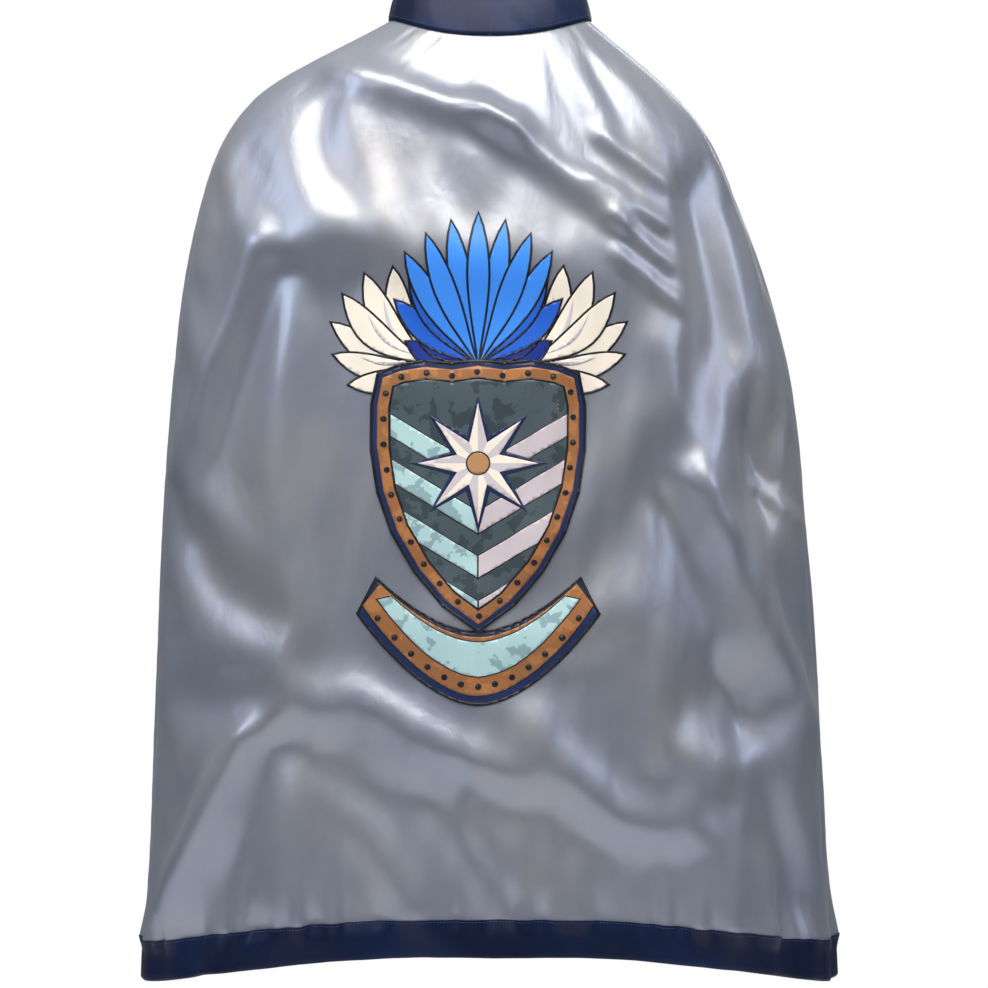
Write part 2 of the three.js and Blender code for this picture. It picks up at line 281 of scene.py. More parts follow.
cloth_rows, cloth_columns = 88, 210
row_drops = bottom_drop * np.linspace(0, 1, cloth_rows) ** row_crowding
column_shares = np.linspace(0, 1, cloth_columns)
front_edge_x = neck_gap / 2 + (hem_gap - neck_gap) / 2 * row_drops / bottom_drop
edge_angles = angle_in_front(front_edge_x, row_drops)
fine_steps = 721
column_angles = np.zeros((cloth_rows, cloth_columns))
side_shares = np.zeros(cloth_rows)
row_lengths = np.zeros(cloth_rows)
for row, (drop, edge) in enumerate(zip(row_drops, edge_angles)):
    fine_angles = np.linspace(-edge, edge, fine_steps)
    steps = np.linalg.norm(np.diff(smooth_hang(fine_angles, np.full(fine_steps, drop)), axis=0), axis=1)
    lengths = np.concatenate([[0], np.cumsum(steps)])
    row_lengths[row] = lengths[-1]
    column_angles[row] = np.interp(column_shares * lengths[-1], lengths, fine_angles)
    side_shares[row] = np.interp(side_seam_angle(drop), fine_angles, lengths / lengths[-1])
hang = smooth_hang(column_angles, np.repeat(row_drops[:, None], cloth_columns, axis=1))

# The folds that the wearer's shoulders and arms press into the back: where each starts and
# ends, seen from behind, half its width and how far it stands out. Valleys are negative.
back_folds = [
    ((-0.150, -0.060), (0.020, -0.118), 0.016, 0.013),
    ((0.000, -0.110), (0.125, -0.205), 0.016, 0.012),
    ((-0.150, -0.215), (0.080, -0.252), 0.045, 0.010),
    ((0.112, -0.128), (0.168, -0.170), 0.009, 0.005),
    ((0.102, -0.170), (0.165, -0.212), 0.009, 0.006),
    ((0.118, -0.212), (0.170, -0.250), 0.008, 0.005),
    ((0.128, -0.250), (0.180, -0.290), 0.009, 0.005),
    ((-0.230, -0.240), (-0.318, -0.450), 0.018, 0.009),
    ((-0.205, -0.270), (-0.300, -0.520), 0.022, -0.011),
    ((-0.205, -0.260), (-0.190, -0.880), 0.036, 0.010),
    ((-0.150, -0.300), (-0.150, -0.850), 0.030, -0.005),
    ((-0.245, -0.730), (-0.335, -0.905), 0.017, 0.013),
    ((-0.205, -0.740), (-0.290, -0.930), 0.022, -0.011),
    ((0.205, -0.190), (0.275, -0.470), 0.024, -0.013),
    ((0.268, -0.440), (0.318, -0.670), 0.025, -0.012),
    ((0.170, -0.340), (0.222, -0.510), 0.020, 0.009),
    ((0.212, -0.480), (0.338, -0.730), 0.021, 0.013),
    ((0.180, -0.500), (0.252, -0.710), 0.022, -0.011),
    ((0.242, -0.680), (0.312, -0.890), 0.027, -0.014),
    ((0.278, -0.474), (0.314, -0.514), 0.007, 0.005),
    ((0.140, -0.600), (0.232, -0.890), 0.032, 0.010),
    ((-0.095, -0.700), (0.005, -0.755), 0.020, 0.005),
    ((-0.055, -0.790), (0.010, -0.885), 0.022, -0.007),
    ((0.045, -0.715), (0.125, -0.800), 0.026, 0.006),
    ((-0.120, -0.820), (-0.070, -0.895), 0.022, 0.006),
]


def fold_heights(points):
    """How far the folds push each point of the back out."""
    total = np.zeros(points.shape[:-1])
    for start, end, width, height in back_folds:
        run = np.array(end) - np.array(start)
        length = np.hypot(*run)
        away = points[..., [0, 2]] - np.array(start)
        along = away @ run / length
        beside = (away[..., 0] * run[1] - away[..., 1] * run[0]) / length
        beyond = np.maximum(np.maximum(-along, along - length), 0)
        total += height * np.exp(-(beside / width) ** 2 - (beyond / (1.6 * width)) ** 2)
    facing_back = np.clip((-points[..., 1] - 0.02) / 0.06, 0, 1)
    return total * facing_back


ripple_knots = 4096
ripple_middle = 1024


def ripple(places, pitch, seed):
    """A smooth random wave between -1 and 1 along an array of places, a crest every pitch or two."""
    heights = np.random.default_rng(seed).uniform(-1, 1, ripple_knots)
    steps = places / pitch + ripple_middle
    i = np.floor(steps).astype(int) % (ripple_knots - 2)
    t = steps - np.floor(steps)
    t = t * t * (3 - 2 * t)
    return heights[i] * (1 - t) + heights[i + 1] * t


# Soft flutes run down the back and deeper folds down the fronts. All folds fade out at the
# sides, so the outline stays as it was, and at the neck seam.
share_down = (row_drops / bottom_drop)[:, None]
flutes = 0.007 * np.sin(hang[..., 0] / 0.036 + 1.2) * share_down ** 2
front_folds = 0.019 * ripple(column_shares * 2.2, 0.080, 5)[None, :] * share_down ** 1.2
behind = np.clip(-hang[..., 1] / 0.05, 0, 1)
swell = fold_heights(hang) + flutes * behind + front_folds * (1 - behind)
outline_hold = np.exp(-(hang[..., 1] / 0.03) ** 2)
swell *= 1 - 0.75 * outline_hold
swell *= np.clip(share_down / 0.03, 0, 1)
hang = hang + surface_normals(hang) * swell[..., None]


def grid_faces(rows, columns):
    """The quads of a grid of points, numbered along its rows."""
    corner = np.arange(rows * columns).reshape(rows, columns)
    quads = [corner[:-1, :-1], corner[:-1, 1:], corner[1:, 1:], corner[1:, :-1]]
    return np.stack(quads, axis=-1).reshape(-1, 4)


def settled(points, hold):
    """Lets the cloth relax: it is cut a little full, so the spare width crumples between the
    places that hold it. Each point is pulled back towards where it was by its hold."""
    rows, columns = hold.shape
    mesh = bpy.data.meshes.new("satin_trial")
    mesh.from_pydata(points.reshape(-1, 3).tolist(), [], grid_faces(rows, columns).tolist())
    trial = add_object("satin_trial", mesh)
    group = trial.vertex_groups.new(name="hold")
    steps = np.round(hold.reshape(-1) * 20).astype(int)
    for step in np.unique(steps):
        group.add(np.flatnonzero(steps == step).tolist(), step / 20, "REPLACE")
    cloth = trial.modifiers.new("satin", "CLOTH")
    make = cloth.settings
    make.quality = 6
    make.mass = 0.12
    make.tension_stiffness = make.compression_stiffness = 15
    make.shear_stiffness = make.bending_stiffness = 6
    make.shrink_min = -fullness
    make.vertex_group_mass = "hold"
    make.pin_stiffness = 4
    make.effector_weights.gravity = 0.3
    cloth.collision_settings.use_collision = False
    cloth.collision_settings.use_self_collision = False
    cloth.point_cache.frame_start = 1
    cloth.point_cache.frame_end = settle_frames
    for number in range(1, settle_frames + 1):
        bpy.context.scene.frame_set(number)
    result = trial.evaluated_get(bpy.context.evaluated_depsgraph_get()).data
    places = np.zeros(rows * columns * 3, np.float32)
    result.vertices.foreach_get("co", places)
    bpy.data.objects.remove(trial)
    bpy.context.scene.frame_set(1)
    moved = places.reshape(rows, columns, 3).astype(float) - points
    distance = np.linalg.norm(moved, axis=-1, keepdims=True)
    moved *= np.minimum(1, furthest_move / np.maximum(distance, 1e-9))
    return points + eased(moved, 3) + crumpled * (moved - eased(moved, 3))


def eased(values, passes):
    """The same grid with its sharpest bends taken out."""
    for _ in range(passes):
        for axis in (0, 1):
            line = np.moveaxis(values, axis, 0).copy()
            line[1:-1] = 0.25 * line[:-2] + 0.5 * line[1:-1] + 0.25 * line[2:]
            values = np.moveaxis(line, 0, axis)
    return values


# The cloth crumples most by the right shoulder and hardly at all behind the print, whose film
# keeps it flat. It is held firmly at the neck seam, and by the hem band and the outline.
settle_frames = 24
furthest_move = 0.014
fullness = 0.010
crease_centre = np.array([0.135, -0.21])
crease_reach = 0.07
crease_distance = np.linalg.norm(hang[..., [0, 2]] - crease_centre, axis=-1)
crumpled = 0.12 + 0.5 * np.exp(-(crease_distance / crease_reach) ** 2)
printed_centre, printed_reach = np.array([-0.012, -0.45]), np.array([0.14, 0.25])
printed_distance = np.linalg.norm((hang[..., [0, 2]] - printed_centre) / printed_reach, axis=-1)
printed = np.exp(-printed_distance ** 4)
crumpled = (crumpled * (1 - 0.9 * printed))[..., None]
hold = np.full(hang.shape[:2], 0.12)
hold += 0.75 * np.exp(-(share_down / 0.02) ** 2)
hold += 0.35 * np.exp(-((1 - share_down) / 0.05) ** 2)
hold += 0.35 * outline_hold
hold = np.clip(hold, 0, 1)
hold[0] = 1.0
hang = settled(hang, hold)


def refined(points, rows, columns):
    """The smooth surface through a grid of points, sampled with more rows and columns."""
    for axis, count in ((0, rows), (1, columns)):
        points = np.moveaxis(points, axis, 0)
        first, final = 2 * points[0] - points[1], 2 * points[-1] - points[-2]
        padded = np.concatenate([[first], points, [final]])
        at = np.linspace(0, len(points) - 1, count)
        i = np.minimum(at.astype(int), len(points) - 2)
        t = (at - i).reshape(-1, *[1] * (points.ndim - 1))
        a, b, c, d = padded[i], padded[i + 1], padded[i + 2], padded[i + 3]
        points = 0.5 * (2 * b + (c - a) * t + (2 * a - 5 * b + 4 * c - d) * t ** 2
                        + (3 * b - a - 3 * c + d) * t ** 3)
        points = np.moveaxis(points, 0, axis)
    return points


fine_rows, fine_columns = 184, 450
fabric = refined(hang, fine_rows, fine_columns)
fine_drops = bottom_drop * np.linspace(0, 1, fine_rows) ** row_crowding
fine_shares = np.linspace(0, 1, fine_columns)
round_hem = fine_shares * row_lengths[-1]

# Puckers: the hem band draws the panel's edge up a little, and so does the collar. Each ripple
# is a height, a pitch and a seed; each grip says how far from the seam it reaches.
above_hem = np.maximum(hem_drop - fine_drops, 0)
below_hem = np.maximum(fine_drops - hem_drop, 0)
hem_grip = np.exp(-(above_hem / 0.024) ** 1.3 - (below_hem / 0.007) ** 2)[:, None]
hem_puckers = 0.0060 * ripple(round_hem, 0.011, 11) + 0.0036 * ripple(round_hem, 0.024, 12)
hem_reach = np.exp(-(above_hem / 0.055) ** 2)[:, None]
hem_waves = 0.0045 * ripple(round_hem, 0.034, 13)
below_neck = np.clip(fine_drops / 0.004, 0, 1)[:, None]
collar_grip = np.exp(-((fine_drops - 0.006) / 0.012) ** 2)[:, None] * below_neck
collar_puckers = 0.0006 * ripple(fine_shares * row_lengths[0], 0.007, 17)
crumple = 0.0010 * ripple(fine_shares[None, :] * 2.3 + 0.35 * fine_drops[:, None], 0.026, 19)
crumple = crumple * np.clip(fine_drops / 0.3, 0, 1)[:, None]
seam_dips = 0
fine_side_shares = np.interp(fine_drops, row_drops, side_shares)
fine_lengths = np.interp(fine_drops, row_drops, row_lengths)[:, None]
for seam in (fine_side_shares, 1 - fine_side_shares):
    beside_seam = (fine_shares[None, :] - seam[:, None]) * fine_lengths
    seam_dips = seam_dips - 0.0012 * np.exp(-(beside_seam / 0.005) ** 2)
detail = hem_puckers * hem_grip + hem_waves * hem_reach + collar_puckers * collar_grip + crumple + seam_dips
detail *= below_neck
fabric = fabric + surface_normals(fabric) * detail[..., None]
fabric_normals = surface_normals(fabric)


def on_cloth(share, drop, offset):
    """Points standing off the hung cloth: share is 0 at the left front edge, 1 at the right."""
    row = np.clip((drop / bottom_drop) ** (1 / row_crowding) * (fine_rows - 1), 0, fine_rows - 1)
    column = np.clip(share, 0, 1) * (fine_columns - 1)
    i = np.minimum(row.astype(int), fine_rows - 2)
    j = np.minimum(column.astype(int), fine_columns - 2)
    s, t = (row - i)[..., None], (column - j)[..., None]

    def blended(grid):
        upper = grid[i, j] * (1 - t) + grid[i, j + 1] * t
        lower = grid[i + 1, j] * (1 - t) + grid[i + 1, j + 1] * t
        return upper * (1 - s) + lower * s

    return blended(fabric) + blended(fabric_normals) * np.asarray(offset)[..., None]


def right_seam(drop):
    return np.interp(drop, row_drops, side_shares)


def left_seam(drop):
    return 1 - right_seam(drop)


def inset(side, width):
    """The line a width in from a front edge; side is -1 on the wearer's left and 1 on the right."""
    def line(drop):
        share = width / np.interp(drop, row_drops, row_lengths)
        return share if side < 0 else 1 - share
    return line


def ribbon(name, profile, start, end, steps, finishes, surface=on_cloth, lining_from=None, rise=None):
    """A closed piece of cloth swept from one line to another. The profile is a list of (level,
    offset) points down the outer face and back up the inner one, so the first faces the last."""
    levels, offsets = np.array(profile, float).T
    count = len(profile)
    shares = np.linspace(0, 1, steps + 1)[:, None]
    across = start(levels)[None, :] * (1 - shares) + end(levels)[None, :] * shares
    lifts = 0 if rise is None else rise(shares)
    rows = np.repeat(levels[None, :], steps + 1, axis=0)
    points = surface(across, rows, offsets[None, :] + lifts + 0 * across)
    here = np.arange(count)
    ahead = (here + 1) % count
    rings = np.arange(steps)[:, None] * count
    sides = np.stack([rings + here, rings + ahead, rings + count + ahead, rings + count + here], axis=-1)
    quads = sides.reshape(-1, 4)
    j = np.arange(count // 2 - 1)
    cap = np.stack([j, count - 1 - j, count - 2 - j, j + 1], axis=-1)
    quads = np.concatenate([quads, cap, cap[:, ::-1] + steps * count])
    corners = points.reshape(-1, 3)
    middle = corners.mean(axis=0)
    a, b, c, d = (corners[quads[:, k]] - middle for k in range(4))
    if (np.cross(a, b) * c).sum() + (np.cross(a, c) * d).sum() < 0:
        quads = quads[:, ::-1]
    mesh = bpy.data.meshes.new(name)
    mesh.from_pydata(corners.tolist(), [], quads.tolist())
    walked = np.concatenate([[0], np.cumsum(np.linalg.norm(np.diff(points[0], axis=0), axis=1))])
    widths = np.linalg.norm(np.diff(points[:, count // 2 - 1], axis=0), axis=1)
    reached = np.concatenate([[0], np.cumsum(widths)])
    places = np.stack(np.broadcast_arrays(reached[:, None], walked[None, :]), axis=-1).reshape(-1, 2)
    corner_points = np.zeros(len(mesh.loops), int)
    mesh.loops.foreach_get("vertex_index", corner_points)
    mesh.uv_layers.new(name="cloth").data.foreach_set("uv", places[corner_points].reshape(-1))
    for finish in finishes:
        mesh.materials.append(finish)
    if lining_from is not None:
        inner_side = np.zeros(len(quads), int)
        inner_side[:steps * count] = np.tile(here >= lining_from, steps)
        mesh.polygons.foreach_set("material_index", inner_side.tolist())
    mesh.polygons.foreach_set("use_smooth", [True] * len(quads))
    mesh.set_sharp_from_angle(angle=math.radians(55))
    return add_object(name, mesh)


def belongs(piece, body, slot, *nodes):
    """Says which body a piece moves with and the solids that it stands for; its slot argument is not used.
    """
    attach(piece, body)
    if nodes:
        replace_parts(piece, *nodes)


def both_faces(levels, low, high):
    """The profile of a flat layer between two offsets."""
    return [(level, high) for level in levels] + [(level, low) for level in levels[::-1]]


def satin(name, face, shade, warm, roughness, metallic, slub, sheen, shine=0.5):
    """Polyester satin: long warp floats lie side by side, so light slides along them and the
    cloth is bright where it turns to the lamp and deep in its valleys. The threads are 0.1 mm,
    too fine to show, so the slubs are drawn ten times coarser."""
    material, tree, place = new_material(name)
    place = place.outputs["Object"]

    def stretched(*scale):
        return add_node(tree, "ShaderNodeMapping", {"Vector": place, "Scale": scale}).outputs[0]

    drift = noise(tree, place, 7.0, detail=4.0, roughness=0.55)
    tone = ramp(tree, drift, (0.34, shade), (0.5, face), (0.66, warm))
    slubs = noise(tree, stretched(60, 60, 950), 1.0, detail=2.0)
    threads = noise(tree, stretched(1300, 1300, 45), 1.0, detail=1.0)
    streaks = add_node(tree, "ShaderNodeMix", {
        "Factor": slubs, "A": 1.0 - slub, "B": 1.0 + slub}, data_type="FLOAT")
    thread_tone = add_node(tree, "ShaderNodeMix", {
        0: 1.0, 6: tone, 7: streaks.outputs[0]}, data_type="RGBA", blend_type="MULTIPLY")
    gloss = add_node(tree, "ShaderNodeMapRange", {
        "Value": drift, "To Min": roughness - 0.05, "To Max": roughness + 0.06})
    weave_height = add_node(tree, "ShaderNodeMath", {0: slubs, 1: threads}, operation="ADD")
    weave = bump(tree, weave_height.outputs[0], 0.10, 0.0004)
    creases = noise(tree, stretched(30, 30, 11), 1.0, detail=3.0, roughness=0.6, distortion=0.6)
    return finished(material, {
        "Base Color": thread_tone.outputs[2], "Roughness": gloss.outputs[0], "Metallic": metallic,
        "Specular IOR Level": shine, "Sheen Weight": sheen, "Sheen Roughness": 0.4,
        "Anisotropic": 0.35, "Normal": bump(tree, creases, 0.20, 0.005, normal=weave)})


# ---------------------------------------------------------------- back panel
# One width of silver satin from side seam to side seam. Its top edge is caught in the collar
# seam and its bottom edge inside the hem band.
seam_allowance = 0.010
panel_bottom = hem_drop + seam_allowance
cloth_low, cloth_high = 0.0004, 0.0010
back_steps, front_steps = 205, 118
silver_satin = satin("silver_polyester_satin", "#98a0b0", "#909aac", "#a2a6af",
                     roughness=0.40, metallic=0.54, slub=0.03, sheen=0.12)
silver_reverse = satin("silver_satin_dull_reverse", "#8b909b", "#858b97", "#92959c",
                       roughness=0.62, metallic=0.10, slub=0.08, sheen=0.25)
panel_levels = fine_drops[fine_drops < panel_bottom - 0.002].tolist() + [panel_bottom]
panel_profile = both_faces(panel_levels, cloth_low, cloth_high)

back_panel = ribbon("back_panel_satin", panel_profile, left_seam, right_seam, back_steps,
                    [silver_satin, silver_reverse], lining_from=len(panel_levels))
belongs(back_panel, "cape", "silver_satin", "back_panel")


# ---------------------------------------------------------------- fronts
# Each front is one piece from the side seam to its own edge. A roll line from the neck to the hem is listed
# for each, but the cloth is not folded along it.
roll_lines = {
    "right": ((0.0063, 0.1335, -0.2043), (0.3224, -0.0072, -0.9466)),
    "left": ((-0.0502, 0.1335, -0.2043), (-0.2706, -0.0073, -0.9627)),
}


def bends_at_front(piece, side, slot, *nodes):
    """Bakes a piece's placement into its mesh and hides the solids that it stands for; it works out its
    roll line's direction but does not bend the piece along it. Its slot argument is not used.
    """
    top, run = (np.array(v) for v in roll_lines[side])
    inboard = np.array([-run[2], 0, run[0]]) * (-1 if side == "right" else 1)
    inboard /= np.linalg.norm(inboard)
    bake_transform(piece)
    if nodes:
        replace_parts(piece, *nodes)


front_spans = {"left": (inset(-1, 0.0), left_seam), "right": (right_seam, inset(1, 0.0))}
for side, (start, end) in front_spans.items():
    front = ribbon("front_satin_" + side, panel_profile, start, end, front_steps,
                   [silver_satin, silver_reverse], lining_from=len(panel_levels))
    bends_at_front(front, side, "silver_satin", "front_panel_" + side, "front_flap_" + side)


# ---------------------------------------------------------------- facings
# The last centimetre of each front edge is turned in and stitched down.
facing_width = 0.012
facing_low, facing_high = -0.0014, -0.0006
facing_levels = [drop for drop in panel_levels if 0.135 < drop < hem_drop - 0.002]
for side, sign in (("left", -1), ("right", 1)):
    lines = [inset(sign, 0.0008), inset(sign, facing_width)]
    profile = both_faces(facing_levels, facing_low, facing_high)
    facing = ribbon("front_facing_satin_" + side, profile, *lines, 3, [silver_satin])
    bends_at_front(facing, side, "silver_satin", "front_facing_" + side)


# ---------------------------------------------------------------- tapes
# Soft twill tape covers the raw edges inside: one length down each side seam and one round
# the neck seam.
tape_width = 0.012
neck_tape_width = 0.013


def twill_tape(name, colour, shadow):
    """Woven cotton twill: diagonal ribs about 1 mm apart, matt and a little fuzzy."""
    material, tree, place = new_material(name)
    ribs = add_node(tree, "ShaderNodeTexWave", {
        "Vector": place.outputs["UV"], "Scale": 320.0, "Distortion": 0.6, "Detail": 1.0},
        bands_direction="DIAGONAL").outputs["Fac"]
    return finished(material, {
        "Base Color": ramp(tree, ribs, (0, shadow), (1, colour)), "Roughness": 0.88,
        "Specular IOR Level": 0.25, "Sheen Weight": 0.3, "Normal": bump(tree, ribs, 0.5, 0.0003)})


grey_tape = twill_tape("grey_twill_tape", "#9a9fa8", "#80858e")


def beside(seam, width):
    """The line a width away from a seam, measured along the cloth."""
    return lambda drop: seam(drop) + width / np.interp(drop, row_drops, row_lengths)


tape_levels = [drop for drop in panel_levels if 0.014 < drop < hem_drop - 0.002]
for side, seam in (("left", left_seam), ("right", right_seam)):
    lines = [beside(seam, -tape_width / 2), beside(seam, tape_width / 2)]
    profile = both_faces(tape_levels, facing_low, facing_high)
    tape = ribbon("side_seam_twill_" + side, profile, *lines, 4, [grey_tape])
    belongs(tape, "cape", "seam_tape", "side_seam_tape_" + side)
neck_levels = np.linspace(0.0005, neck_tape_width, 5).tolist()
neck_tape = ribbon("neck_tape_twill", both_faces(neck_levels, facing_low, facing_high),
                   inset(-1, 0.001), inset(1, 0.001), 120, [grey_tape])
belongs(neck_tape, "cape", "seam_tape", "neck_tape")


# ---------------------------------------------------------------- hem band
# A 75 mm strip of navy satin folded lengthwise round the raw hem, so 37 mm shows on each face.
# It is stiffer than the panel and lies smoother, with a soft roll at its fold.
band_thickness = 0.0006
band_outer, band_inner = 0.0027, -0.0018
navy_satin = satin("navy_polyester_satin", "#0b1b3c", "#081533", "#13274e",
                   roughness=0.44, metallic=0.05, slub=0.05, sheen=0.02, shine=0.22)


def folded_band(thickness):
    """One face of the folded strip: down the outside, round the fold and up the inside."""
    top, bottom = band_outer - thickness, band_inner + thickness
    radius = (top - bottom) / 2
    centre = (top + bottom) / 2
    lowest = bottom_drop - 0.0028
    levels = np.linspace(hem_drop, lowest, 9)
    turn = np.linspace(0, math.pi, 7)[1:-1]
    outside = [(level, top) for level in levels]
    fold = [(lowest + radius * math.sin(a), centre + radius * math.cos(a)) for a in turn]
    inside = [(level, bottom) for level in levels[::-1]]
    return outside + fold + inside


band_profile = folded_band(0.0) + folded_band(band_thickness)[::-1]
band_spans = {"back": (left_seam, right_seam, back_steps)}
for side in ("left", "right"):
    band_spans[side] = (*front_spans[side], front_steps)
for part, (start, end, steps) in band_spans.items():
    band = ribbon("hem_band_satin_" + part, band_profile, start, end, steps, [navy_satin])
    if part == "back":
        belongs(band, "cape", "navy_satin", "hem_band_back")
    else:
        bends_at_front(band, part, "navy_satin", "hem_band_front_" + part, "hem_band_flap_" + part)


# ---------------------------------------------------------------- collar
# A 39 mm stand collar: navy satin outside in two halves that meet at the centre back, a stiff
# interfacing, and a navy lining. It leans in slightly towards its top edge.
collar_height = 0.039
collar_taper = 0.012
collar_lift = 0.00134
neck_half_width, neck_back_depth, neck_front_depth = 0.101, 0.072, 0.066
lining_layer = (0.0003, 0.0009)
interfacing_layer = (0.0015, 0.0021)
outer_layer = (0.0027, 0.0037)
seam_cover = 0.002


def on_collar(angle, height, offset):
    """Points standing off the collar's inner face; the satin bows between its two edges."""
    share = np.clip(height / collar_height, 0, 1)
    lean = collar_taper * share
    x, y = oval(angle, neck_half_width - lean, neck_back_depth - lean, neck_front_depth - lean)
    z = height + collar_lift - neck_dip(angle)
    points = np.stack([x, y, z], axis=-1)
    outward = np.stack([np.sin(angle) / neck_half_width, -np.cos(angle) / 0.070, 3.0 + 0 * angle], axis=-1)
    outward /= np.linalg.norm(outward, axis=-1, keepdims=True)
    round_neck = angle * 0.085
    bow = 0.0009 * np.sin(math.pi * share)
    rumples = 0.0011 * ripple(round_neck + 0.3 * height, 0.016, 23) * np.sin(math.pi * share) ** 0.5
    return points + outward * (offset + bow + rumples)[..., None]


def neck_edge(sign):
    edge = float(angle_in_front(np.array(neck_gap / 2), np.array(0.0)))
    return lambda height: np.full(np.shape(height), sign * edge)


def at_angle(angle):
    return lambda height: np.full(np.shape(height), angle)


def collar_profile(layer, margin, edge_round):
    """A layer of the collar from its seam to its top edge, with the edges eased over. A negative
    margin carries the layer down over the seam."""
    levels = np.linspace(margin, collar_height - max(margin, 0), 12)
    low, high = layer
    outer = [(level, high) for level in levels]
    outer[0] = (levels[0], high - edge_round)
    outer[-1] = (levels[-1], high - edge_round)
    outer.insert(1, (levels[0] + edge_round, high))
    outer.insert(-1, (levels[-1] - edge_round, high))
    return outer + [(level, low) for level, _ in outer[::-1]]


stiffener = twill_tape("bonded_interfacing", "#e8e6df", "#dcdad2")
whole_neck = (neck_edge(-1), neck_edge(1))
left_half, right_half = (neck_edge(-1), at_angle(-0.0003)), (at_angle(0.0003), neck_edge(1))
collar_pieces = [
    ("lining", "inner", lining_layer, 0.0, 0.0002, whole_neck, 150),
    ("stiffening", "interfacing", interfacing_layer, 0.002, 0.0002, whole_neck, 120),
    ("satin_left", "outer_left", outer_layer, -seam_cover, 0.0006, left_half, 90),
    ("satin_right", "outer_right", outer_layer, -seam_cover, 0.0006, right_half, 90),
]
for name, node_name, layer, margin, edge_round, span, steps in collar_pieces:
    stiff = name == "stiffening"
    piece = ribbon("collar_" + name, collar_profile(layer, margin, edge_round), *span, steps,
                   [stiffener if stiff else navy_satin], surface=on_collar)
    belongs(piece, "cape", "stiffener" if stiff else "navy_satin", "collar_" + node_name)


# ---------------------------------------------------------------- neck closure
# A padded satin tab, sewn to the right end of the collar, crosses the opening and presses its
# hook patch on the loop patch on the left end. Its far corners are rounded.
tab_root, tab_reach, tab_height, tab_corner = 0.024, 0.040, 0.026, 0.008
patch_start, patch_end, patch_height = 0.013, 0.036, 0.020
collar_middle = collar_height / 2
loop_layer, hook_layer = (0.0042, 0.0052), (0.0056, 0.0066)
tab_layer = (0.0042, 0.0054)
tab_climb = 0.0028


def front_angle(x):
    return angle_in_front(np.asarray(x, float), np.zeros(np.shape(x)))


def at_front(x):
    return lambda height: front_angle(np.full(np.shape(height), x))


def rounded_tip(height):
    """The tab's far end: straight in the middle, rounded towards its two corners."""
    beyond = np.maximum(np.abs(height - collar_middle) - (tab_height / 2 - tab_corner), 0)
    return front_angle(-tab_reach + tab_corner - np.sqrt(np.maximum(tab_corner ** 2 - beyond ** 2, 0)))


def climb(share):
    """The tab lies on the collar at its root and rises on to the patches."""
    t = np.clip(share / ((tab_root + patch_start) / (tab_root + tab_reach)), 0, 1)
    return tab_climb * t * t * (3 - 2 * t)


def centred(height, layer, count):
    levels = np.linspace(collar_middle - height / 2, collar_middle + height / 2, count).tolist()
    return both_faces(levels, *layer)


def fastener(name, colour, spacing, height):
    """Nylon fastener tape: tiny loops, or hooks in rows, of dark nylon that drink the light and look matt
    black; the near-black between the tufts is painted shade.
    """
    material, tree, place = new_material(name)
    tufts = add_node(tree, "ShaderNodeTexVoronoi", {
        "Vector": place.outputs["UV"], "Scale": 1 / spacing}).outputs["Distance"]
    return finished(material, {
        "Base Color": ramp(tree, tufts, (0, colour), (1, "#05070b")), "Roughness": 0.85,
        "Sheen Weight": 0.4, "Normal": bump(tree, tufts, 0.9, height, invert=True)})


loop_pile = fastener("nylon_loop_pile", "#1c2230", 0.0009, 0.0006)
hook_rows = fastener("nylon_hook_tape", "#141a26", 0.0014, 0.0009)
patch_lines = (at_front(-patch_start), at_front(-patch_end), 30)
patches = [("loop_patch_pile", "loop_patch", loop_layer, loop_pile, "cape"),
           ("hook_patch_tape", "hook_patch", hook_layer, hook_rows, "tab")]
for name, node_name, layer, finish, body in patches:
    patch = ribbon(name, centred(patch_height, layer, 10), *patch_lines, [finish], surface=on_collar)
    belongs(patch, body, "hook_and_loop", node_name)
tab = ribbon("closure_tab_satin", centred(tab_height, tab_layer, 25), at_front(tab_root), rounded_tip, 40,
             [navy_satin], surface=on_collar, rise=climb)
belongs(tab, "tab", "navy_satin", "closure_tab")


# ---------------------------------------------------------------- care label
# A folded satin ribbon, 30 mm by 42 mm, caught in the neck seam at the centre back and free to
# swing. It is blank but for its woven borders.
label_low, label_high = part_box("care_label")
label_curl = 0.0001


def on_label(across, level, offset):
    """Points on the hanging label, which curls slightly from side to side."""
    x = label_low.x + (label_high.x - label_low.x) * across
    y = (label_low.y + label_high.y) / 2 - offset + label_curl * np.cos(2 * math.pi * across)
    return np.stack([x, y, label_high.z - level], axis=-1)


def woven_label():
    """White polyester ribbon with a grey border along each edge and fine crosswise ribs."""
    material, tree, place = new_material("woven_label_ribbon")
    place = place.outputs["Object"]
    split = add_node(tree, "ShaderNodeSeparateXYZ", {"Vector": place})
    side = add_node(tree, "ShaderNodeMath", {0: split.outputs["X"]}, operation="ABSOLUTE")
    border = add_node(tree, "ShaderNodeMapRange", {
        "Value": side.outputs[0], "From Min": 0.0125, "From Max": 0.0128})
    tone = add_node(tree, "ShaderNodeMix", {
        0: border.outputs[0], 6: linear("#f0efec"), 7: linear("#a9adb8")}, data_type="RGBA")
    ribs = add_node(tree, "ShaderNodeTexWave", {
        "Vector": place, "Scale": 300.0, "Distortion": 0.4}, bands_direction="Z")
    return finished(material, {
        "Base Color": tone.outputs[2], "Roughness": 0.55, "Sheen Weight": 0.2,
        "Normal": bump(tree, ribs.outputs["Fac"], 0.3, 0.0002)})


label_levels = np.linspace(0, label_high.z - label_low.z, 24).tolist()
label_sides = (lambda level: np.zeros(np.shape(level)), lambda level: np.ones(np.shape(level)))
label = ribbon("care_label_ribbon", both_faces(label_levels, -0.00025, 0.00025), *label_sides, 20,
               [woven_label()], surface=on_label)
belongs(label, "label", "label", "care_label")


